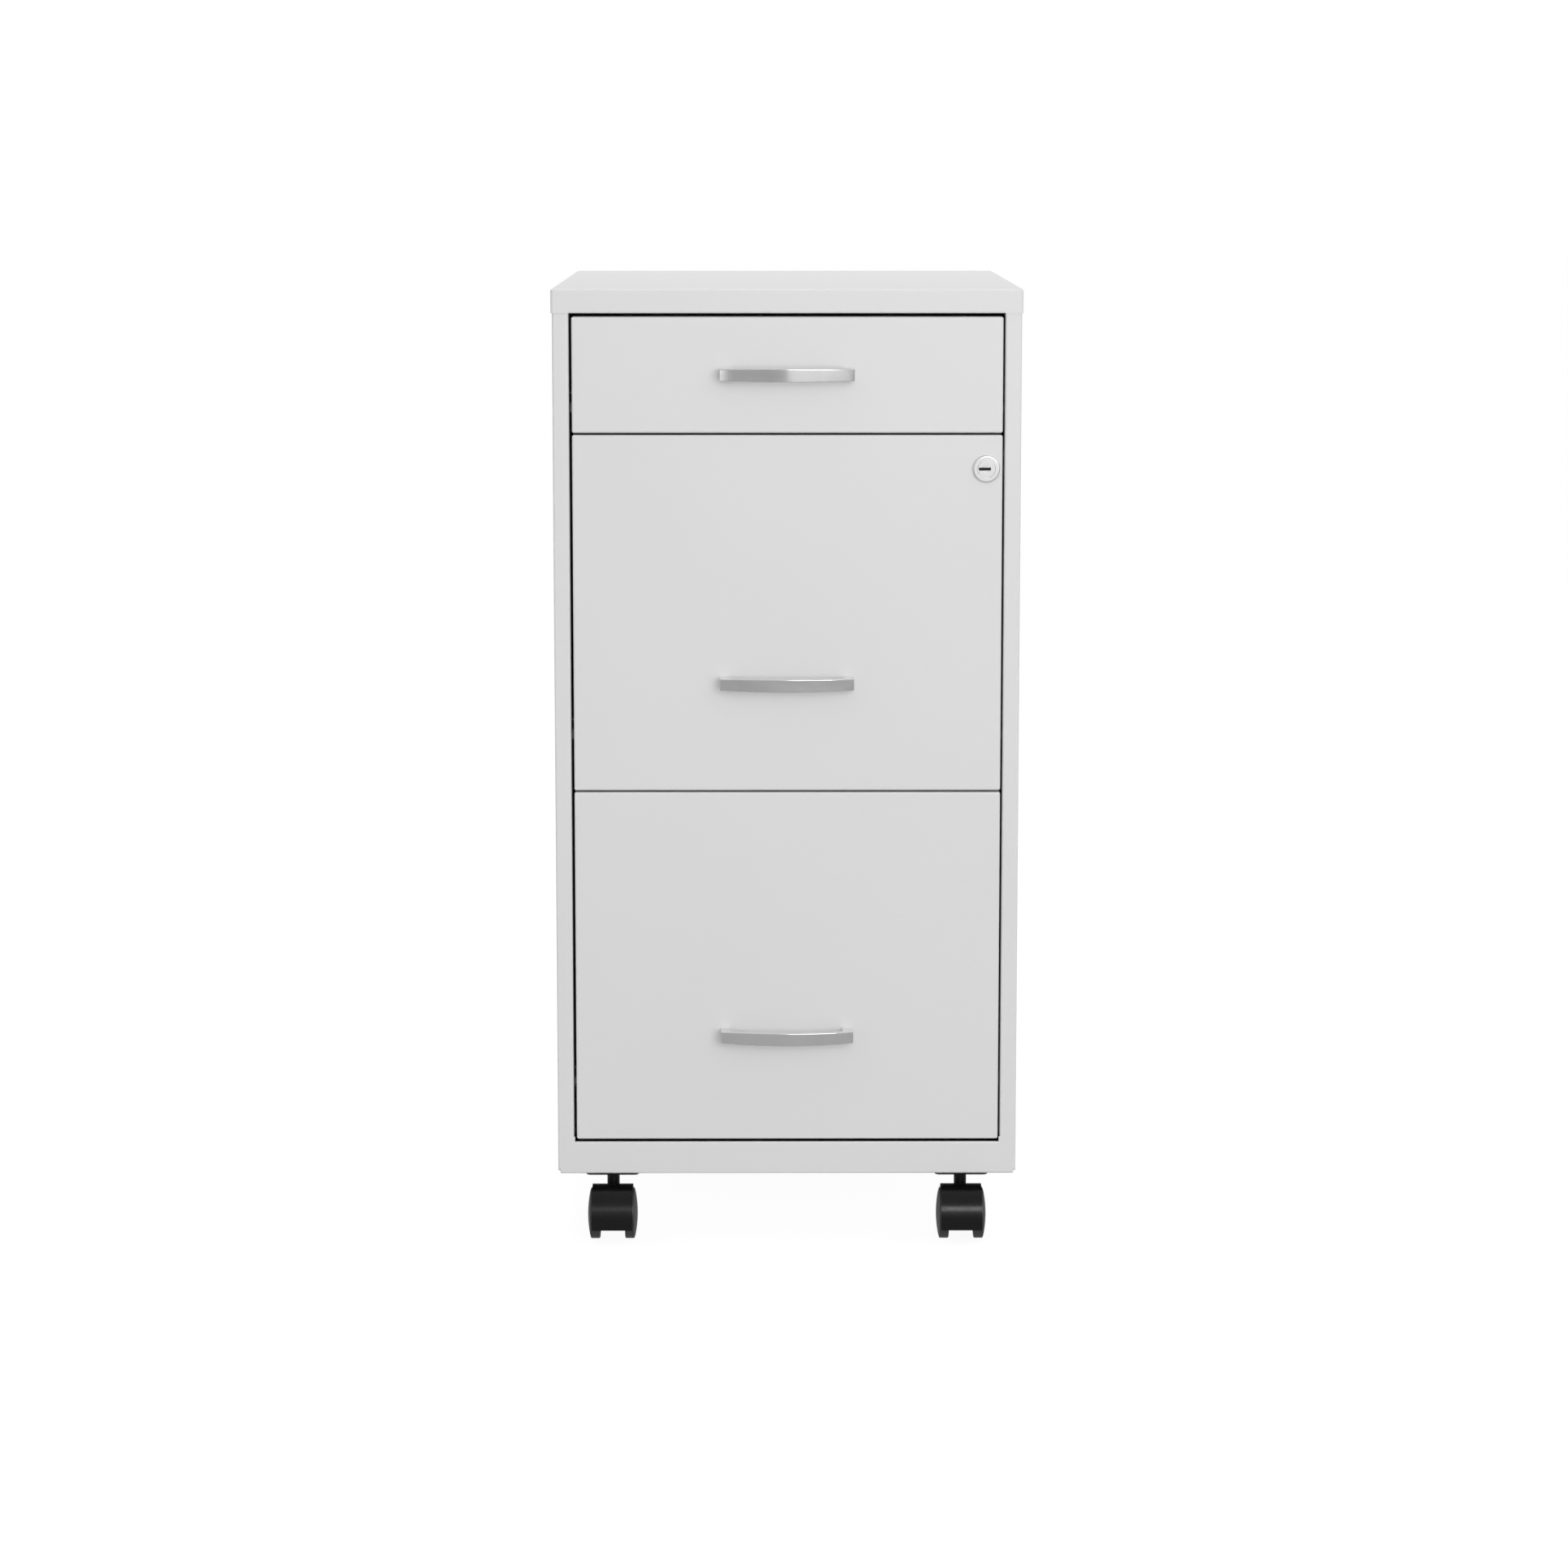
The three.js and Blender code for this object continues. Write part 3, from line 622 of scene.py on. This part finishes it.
def bottom_front_rail():
    """The rail under the drawers, with an ear at each end that fills a stile's notch."""
    node = "bottom_front_rail"
    near, far = low(node), high(node)
    half = OPENING_HALF - STILE_GAP
    top = far.z - EAR_RISE
    floor_path = [(near.y, near.z), (far.y, near.z)]
    face_path = [(near.y + LIP_DEPTH, top - LIP_FALL), (near.y, top), *floor_path]
    ear = folded([(near.y, far.z), *floor_path], SHEET)
    rail = drawn(f"{node}_sheet", folded(face_path, SHEET), "x", (-half, half))
    ears = [
        drawn("ear", ear, "x", (near.x, EAR_LAP - half)),
        drawn("ear", ear, "x", (half - EAR_LAP, far.x)),
    ]
    carve(rail, ears, "UNION")
    stands_for(ease(rail), node)


def back_panel():
    panel = block("back_panel_sheet", low("back_panel"), high("back_panel"))
    stands_for(ease(panel), "back_panel")


def base_pan():
    near, far = low("base_pan"), high("base_pan")
    middle = centre_of("base_pan")
    size = (far.x - near.x, far.y - near.y)
    pan = tray(
        "base_pan_sheet", size, far.z - near.z, PAN_CORNER, SHEET,
        lambda u, v, w: (middle.x + u, middle.y + v, near.z + w),
    )
    stands_for(ease(pan), "base_pan")


# ---- Drawers ----
def drawer_front(name):
    """A pressed front. The middle one has the lock's hole and the slot for its cam."""
    node = f"{name}_drawer_front"
    near, far = low(node), high(node)
    near.x += FRONT_TRIM_LEFT
    far.x -= FRONT_TRIM_RIGHT
    if name == "top":
        far.z -= FRONT_TRIM_TOP
    if name == "bottom":
        near.z += FRONT_TRIM_BOTTOM
    middle = (near + far) / 2
    size = (far.x - near.x, far.z - near.z)
    front = tray(
        f"{node}_sheet", size, far.y - near.y, FRONT_CORNER, DRAWER_SHEET,
        lambda u, v, w: (middle.x + u, near.y + w, middle.z + v),
    )
    if name == "middle":
        plug = centre_of("lock_plug")
        hole = turned(
            "hole_cutter", [(LOCK_HOLE_RADIUS, -CUT_OVER), (LOCK_HOLE_RADIUS, LOCK_HOLE_DEPTH)],
            lambda a, b, along: (plug.x + a, near.y + along, plug.z + b),
        )
        slot = cam_slot(far.x - BEND, far.x + CUT_OVER, FRONT_SLOT_OPEN_END)
        carve(front, [hole, slot])
    stands_for(ease(front), node)


def drawer_box(name):
    """A box's folded sides and floor, and its end walls and runners as pieces of their own."""
    node = f"{name}_drawer_box"
    near, far = low(node), high(node)
    top = far.z - DRAWER_SHEET
    path = [
        (-BOX_WALL - HANGER, top),
        (-BOX_WALL, top),
        (-BOX_WALL, near.z),
        (BOX_WALL, near.z),
        (BOX_WALL, top),
        (BOX_WALL + HANGER, top),
    ]
    box = drawn(f"{node}_sheet", folded(path, DRAWER_SHEET), "y", (near.y, far.y))
    stands_for(ease(box), node)
    inside = BOX_WALL - DRAWER_SHEET - TOUCH
    floor_top = near.z + DRAWER_SHEET + TOUCH
    details = [
        block(
            f"{name}_box_front_wall",
            (-inside, near.y, floor_top),
            (inside, near.y + DRAWER_SHEET, top - BOX_FRONT_DROP),
        ),
        block(
            f"{name}_box_back_wall",
            (-inside, far.y - DRAWER_SHEET, floor_top),
            (inside, far.y, top - BOX_BACK_DROP),
        ),
    ]
    runner = centre_of(f"{name}_left_rear_shoe").z
    for side, sign in SIDES:
        x0, x1 = sorted((sign * (BOX_WALL + TOUCH), sign * far.x))
        details.append(block(
            f"{name}_{side}_runner",
            (x0, near.y, runner - RUNNER_HALF_SHEET),
            (x1, far.y, runner + RUNNER_HALF_SHEET),
        ))
    for detail in details:
        rides_with(ease(detail), node)


def bow(half, end_reach, mid_reach, x):
    """How far an arc through the ends and the middle stands out at x."""
    rise = mid_reach - end_reach
    radius = (half * half + rise * rise) / (2 * rise)
    return mid_reach - radius + math.sqrt(radius * radius - x * x)


def handle(name):
    """An arched bar on two posts, bowed forwards and a little taller in the middle."""
    node = f"{name}_drawer_handle"
    near, far = low(node), high(node)
    face = low(f"{name}_drawer_front").y
    reach = face - near.y
    centre = (near.z + far.z) / 2
    clear = HANDLE_HALF - HANDLE_POST
    post_xs = [-HANDLE_HALF + HANDLE_POST * i / POST_STEPS for i in range(POST_STEPS)]
    bar_xs = [-clear + 2 * clear * i / BAR_STEPS for i in range(BAR_STEPS + 1)]

    def front(x):
        return bow(HANDLE_HALF, HANDLE_END_REACH, reach, x)

    def back(x):
        return bow(clear, HANDLE_INNER_END, reach - HANDLE_BAR, x)

    left_post = post_xs + [-clear]
    right_post = [-x for x in left_post[::-1]]
    stations = [(x, front(x), HANDLE_FOOT) for x in left_post]
    stations += [(x, front(x), back(x)) for x in bar_xs]
    stations += [(x, front(x), HANDLE_FOOT) for x in right_post]
    rings = []
    for x, out, inn in stations:
        rise = bow(HANDLE_HEIGHT_ARC, HANDLE_END_HEIGHT / 2, (far.z - near.z) / 2, x)
        ring = [(-out, -rise), (-out, rise), (-inn, rise), (-inn, -rise)]
        rings.append([(x, face + y, centre + z) for y, z in ring])
    pull = mesh(f"{name}_drawer_pull", rings)
    stands_for(ease(pull, HANDLE_EDGE, HANDLE_EDGE_STEPS), node)


# ---- Cam lock ----
def lock():
    """The housing, the barrel with its keyway, and a black block inside the keyway as painted
    shade.
    """
    plug = centre_of("lock_plug")
    face = low("middle_drawer_front").y

    def place(a, b, along):
        return (plug.x + a, face + along, plug.z + b)

    rim_centre = (LOCK_FLANGE - LOCK_FLANGE_ROUND, LOCK_FLANGE_ROUND - LOCK_PROUD)
    housing = turned("lock_housing_shell", [
        (LOCK_BORE, LOCK_BACK),
        (LOCK_THREAD, LOCK_BACK),
        (LOCK_THREAD, LOCK_FACE_GAP),
        (LOCK_FLANGE, LOCK_FACE_GAP),
        *arc(rim_centre, LOCK_FLANGE_ROUND, start=0, end=-90, steps=8),
        (LOCK_BORE + BARREL_CHAMFER, -LOCK_PROUD),
        (LOCK_BORE, BARREL_CHAMFER - LOCK_PROUD),
    ], place, looped=True)
    stands_for(housing, "lock_housing")
    barrel = turned("lock_barrel", [
        (BARREL_RADIUS, LOCK_BACK),
        (BARREL_RADIUS, BARREL_CHAMFER - LOCK_PROUD),
        (BARREL_RADIUS - BARREL_CHAMFER, -LOCK_PROUD),
        (GROOVE_RADIUS + GROOVE_HALF, -LOCK_PROUD),
        (GROOVE_RADIUS + GROOVE_FLOOR_HALF, GROOVE_DEPTH - LOCK_PROUD),
        (GROOVE_RADIUS - GROOVE_FLOOR_HALF, GROOVE_DEPTH - LOCK_PROUD),
        (GROOVE_RADIUS - GROOVE_HALF, -LOCK_PROUD),
    ], place)
    slot_x = (plug.x - KEYWAY_LEFT, plug.x + KEYWAY_RIGHT)
    slot_z = (plug.z - KEYWAY_HALF_HEIGHT, plug.z + KEYWAY_HALF_HEIGHT)
    keyway = block(
        "keyway_cutter",
        (slot_x[0], face - KEYWAY_IN_FRONT, slot_z[0]),
        (slot_x[1], face + KEYWAY_BEHIND, slot_z[1]),
    )
    carve(barrel, [keyway])
    stands_for(ease(barrel, SMALL_EDGE), "lock_plug")
    barrel_face = face - LOCK_PROUD
    # Painted shade: a black block set inside the keyway darkens it where its depth would lie in
    # shade.
    keyway_shade_block = block(
        "lock_keyway_painted_shade",
        (slot_x[0] - KEYWAY_SHADE_OVERLAP, barrel_face + KEYWAY_SHADE_START, slot_z[0] - KEYWAY_SHADE_OVERLAP),
        (slot_x[1] + KEYWAY_SHADE_OVERLAP, barrel_face + KEYWAY_SHADE_END, slot_z[1] + KEYWAY_SHADE_OVERLAP),
    )
    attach(keyway_shade_block, body_of["lock_plug"])
    keyway_shade_block.data.materials.append(materials["caster_plastic"])


# ---- Casters ----
def caster(corner):
    stem = centre_of(f"{corner}_caster_plate")
    axle = centre_of(f"{corner}_caster_axle")
    caster_plate(corner, stem)
    caster_hood(corner, stem, axle)
    for side, sign in SIDES:
        caster_wheel(f"{corner}_caster_{side}_wheel", sign, stem, axle)


def caster_plate(corner, stem):
    """The pressed plate, the stem under it and the four screws."""
    node = f"{corner}_caster_plate"
    top = high(node).z
    under = top - PLATE_THICKNESS
    edge = arc((PLATE_EDGE, under + PLATE_EDGE), PLATE_EDGE, start=180, end=270, steps=5)
    rings = []
    for inset, z in [(0, top), *edge]:
        side = PLATE_SIDE - 2 * inset
        outline = rounded_rectangle(side, side, PLATE_CORNER - inset)
        rings.append([(stem.x + x, stem.y + y, z) for x, y in outline])
    stands_for(ease(mesh(f"{node}_body", rings)), node)
    profile = [
        (STEM_NECK_RADIUS, under + STEM_IN_PLATE),
        (STEM_NECK_RADIUS, under - STEM_NECK_LENGTH),
        (STEM_RADIUS, under - STEM_SHOULDER),
        (STEM_RADIUS, STEM_BOTTOM),
    ]
    pin = turned(
        f"{corner}_caster_stem", profile,
        lambda a, b, z: (stem.x + a, stem.y + b, z), steps=48,
    )
    rides_with(ease(pin, SMALL_EDGE), node)
    for i, (sx, sy) in enumerate(QUARTERS):
        x, y = stem.x + sx * SCREW_OFFSET, stem.y + sy * SCREW_OFFSET
        plate_screw(f"{corner}_plate_screw_{i + 1}", node, x, y, under)


def plate_screw(name, node, x, y, z):
    """A low-head screw under the plate, with a cross recess."""
    profile = [(SCREW_RADIUS, z + SCREW_SUNK)]
    for u, v in arc((0, 0), 1, start=0, end=SCREW_DOME_DEGREES, steps=5):
        rise = SCREW_RIM_HEIGHT + (1 - SCREW_RIM_HEIGHT) * v
        profile.append((SCREW_RADIUS * u, z - SCREW_HEIGHT * rise))
    head = turned(name, profile, lambda a, b, along: (x + a, y + b, along), steps=32)
    bottom = z - SCREW_HEIGHT - CUT_OVER
    top = z + CROSS_PAST_HEAD
    bars = []
    for dx, dy in ((CROSS_ARM, CROSS_WIDTH / 2), (CROSS_WIDTH / 2, CROSS_ARM)):
        bars.append(block("cross", (x - dx, y - dy, bottom), (x + dx, y + dy, top)))
    carve(head, bars)
    rides_with(ease(head, SCREW_EDGE), node)


def caster_hood(corner, stem, axle):
    """The hood over the wheels, with the web between them and the stem's socket."""
    node = f"{corner}_caster_hood"
    end_y = stem.y - HOOD_END_BEFORE_STEM
    end_degrees = 180 - math.degrees(math.acos((end_y - axle.y) / HOOD_OUTER))
    section = [
        (-HOOD_HALF, HOOD_INNER),
        (-HOOD_HALF, HOOD_OUTER),
        (HOOD_HALF, HOOD_OUTER),
        (HOOD_HALF, HOOD_INNER),
    ]
    rings = []
    for c, s in arc((0, 0), 1, HOOD_LIP_DEGREES, end_degrees, HOOD_STEPS):
        rings.append([(stem.x + x, axle.y - r * c, axle.z + r * s) for x, r in section])
    hood = mesh(f"{node}_shell", rings)

    def about_axle(a, b, x):
        return (stem.x + x, axle.y + a, axle.z + b)

    def about_stem(a, b, z):
        return (stem.x + a, stem.y + b, z)

    web_profile = [(WEB_RADIUS, -WEB_HALF), (WEB_RADIUS, WEB_HALF)]
    disc = turned("web", web_profile, about_axle, steps=72)
    trim = block(
        "trim",
        (stem.x - WEB_HALF - CUT_OVER, axle.y - BEYOND_HOOD, WEB_BOTTOM),
        (stem.x + WEB_HALF + CUT_OVER, stem.y, ABOVE_HOOD),
    )
    carve(disc, [trim], "INTERSECT")
    socket_profile = [(SOCKET_RADIUS, SOCKET_BOTTOM), (SOCKET_RADIUS, SOCKET_TOP)]
    carve(hood, [disc, turned("socket", socket_profile, about_stem, steps=48)], "UNION")
    bore_profile = [(STEM_BORE, STEM_BORE_BOTTOM), (STEM_BORE, ABOVE_HOOD)]
    bore = turned("bore", bore_profile, about_stem, steps=48)
    axle_profile = [(AXLE_BORE, -HOOD_HALF), (AXLE_BORE, HOOD_HALF)]
    axle_hole = turned("axle_hole", axle_profile, about_axle, steps=24)
    carve(hood, [bore, axle_hole])
    stands_for(ease(hood, HOOD_EDGE, segments=3), node)


def caster_wheel(node, sign, stem, axle):
    """A wheel with a recessed inner face, a domed outer one and a blind bore for the axle."""
    floor_x = WHEEL_INNER + RECESS_DEPTH
    tread_radius = WHEEL_RADIUS - WHEEL_EDGE
    tread_end = WHEEL_OUTER - WHEEL_RADIUS * WHEEL_RADIUS / (2 * DISC_CURVE)
    profile = [
        (AXLE_BORE, WHEEL_BORE_END),
        (AXLE_BORE, WHEEL_INNER),
        (RECESS_FROM, WHEEL_INNER),
        (RECESS_FROM + RECESS_SLOPE, floor_x),
        (RECESS_TO - RECESS_SLOPE, floor_x),
        (RECESS_TO, WHEEL_INNER),
    ]
    inner_round = (tread_radius, WHEEL_INNER + WHEEL_EDGE)
    outer_round = (tread_radius, tread_end - WHEEL_EDGE)
    profile += arc(inner_round, WHEEL_EDGE, start=-90, end=0, steps=5)
    profile += arc(outer_round, WHEEL_EDGE, start=0, end=80, steps=6)
    profile += [(r, WHEEL_OUTER - r * r / (2 * DISC_CURVE)) for r in DISC_RADII]
    wheel = turned(
        f"{node}_disc", profile,
        lambda a, b, x: (stem.x + sign * x, axle.y + a, axle.z + b), steps=80,
    )
    stands_for(ease(wheel), node)
    wheel.data.materials[0] = wheel_plastic


# ---- Stage ----
def floor():
    """A floor that glows softly, and that the camera sees nearly white."""
    data = bpy.data.meshes.new("floor")
    half = FLOOR_HALF * MM
    corners = [(-half, -half, 0), (half, -half, 0), (half, half, 0), (-half, half, 0)]
    data.from_pydata(corners, [], [(0, 1, 2, 3)])
    ground = bpy.data.objects.new("floor", data)
    scene.collection.objects.link(ground)
    material = bpy.data.materials.new("pale floor")
    material.use_nodes = True
    nodes, links = material.node_tree.nodes, material.node_tree.links
    shader = nodes["Principled BSDF"]
    shader.inputs["Base Color"].default_value = (0.12, 0.12, 0.12, 1)
    shader.inputs["Roughness"].default_value = 1.0
    shader.inputs["Specular IOR Level"].default_value = 0.0
    shader.inputs["Emission Color"].default_value = (1, 1, 1, 1)
    glow = seen_or_lit(nodes, links, FLOOR_SEEN, FLOOR_LIT)
    links.new(glow, shader.inputs["Emission Strength"])
    data.materials.append(material)


def seen_or_lit(nodes, links, seen, lit):
    """One strength for what the camera sees directly, and another for the light on the object."""
    path = nodes.new("ShaderNodeLightPath")
    span = nodes.new("ShaderNodeMapRange")
    span.inputs["To Min"].default_value = lit
    span.inputs["To Max"].default_value = seen
    links.new(path.outputs["Is Camera Ray"], span.inputs["Value"])
    return span.outputs["Result"]


def world():
    """White to the camera, and a softer grey as light."""
    surroundings = bpy.data.worlds.new("studio")
    surroundings.use_nodes = True
    nodes, links = surroundings.node_tree.nodes, surroundings.node_tree.links
    background = nodes["Background"]
    background.inputs["Color"].default_value = (1, 1, 1, 1)
    strength = seen_or_lit(nodes, links, WORLD_SEEN, WORLD_LIT)
    links.new(strength, background.inputs["Strength"])
    scene.world = surroundings


def softbox(name, place, target, size, radiance, diffuse=True, glossy=True):
    """An area light of a given size and radiance that the camera doesn't see."""
    width, height = size
    light = bpy.data.lights.new(name, "AREA")
    light.shape = "RECTANGLE"
    light.size = width * MM
    light.size_y = height * MM
    light.energy = radiance * math.pi * width * height * MM * MM
    lamp = bpy.data.objects.new(name, light)
    lamp.location = Vector(place) * MM
    aim = Vector(target) - Vector(place)
    lamp.rotation_euler = aim.to_track_quat("-Z", "Y").to_euler()
    lamp.visible_camera = False
    lamp.visible_diffuse = diffuse
    lamp.visible_glossy = glossy
    scene.collection.objects.link(lamp)


def lights():
    """Fills that give no reflections, a key that gives nothing else, and two cards for both."""
    softbox(
        "overhead", place=(250, 560, 2900), target=(0, 100, 700),
        size=(2400, 1500), radiance=2.6, glossy=False,
    )
    softbox(
        "key", place=(900, -3200, 1690), target=(0, -200, 420),
        size=(1800, 950), radiance=9.5, diffuse=False,
    )
    softbox(
        "front_fill", place=(600, -3200, 780), target=(0, -200, 400),
        size=(2000, 1200), radiance=3.5, glossy=False,
    )
    softbox(
        "upper_fill", place=(1100, -3600, 1800), target=(0, -200, 300),
        size=(2400, 1400), radiance=1.4, glossy=False,
    )
    softbox(
        "side_fill", place=(3200, 500, 1500), target=(0, 0, 400),
        size=(2000, 1200), radiance=1.4, glossy=False,
    )
    softbox(
        "rear_fill", place=(-2300, 2700, 1500), target=(0, 0, 400),
        size=(2400, 1400), radiance=2.2, glossy=False,
    )
    softbox(
        "right_card", place=(1750, -4300, 680), target=(1750, 0, 680),
        size=(3400, 840), radiance=0.46,
    )
    softbox(
        "left_card", place=(-3050, -3000, 760), target=(0, -200, 760),
        size=(1300, 900), radiance=0.7,
    )


def camera():
    data = bpy.data.cameras.new("camera")
    data.lens = LENS
    data.sensor_width = SENSOR
    data.shift_x, data.shift_y = SHIFT
    data.clip_end = CLIP_END * MM
    view = bpy.data.objects.new("camera", data)
    view.location = Vector(CAMERA_PLACE) * MM
    view.rotation_euler = (math.radians(90 - CAMERA_TILT), 0, math.radians(CAMERA_TURN))
    scene.collection.objects.link(view)
    scene.camera = view


# ---- The cabinet ----
top_cap()
for side_name, side_sign in SIDES:
    side_panel(side_name, side_sign)
bottom_front_rail()
back_panel()
base_pan()
for drawer in DRAWERS:
    drawer_front(drawer)
    drawer_box(drawer)
    handle(drawer)
lock()
for caster_corner in CORNERS:
    caster(caster_corner)

# The CAD nodes that stay take the finish of their slot.
for node_name, node_object in frame["nodes"].items():
    if not node_object.hide_render:
        for material_slot in node_object.material_slots:
            material_slot.material = materials[slot_of[node_name]]

# ---- The studio ----
floor()
world()
lights()
camera()
scene.view_settings.view_transform = "Standard"
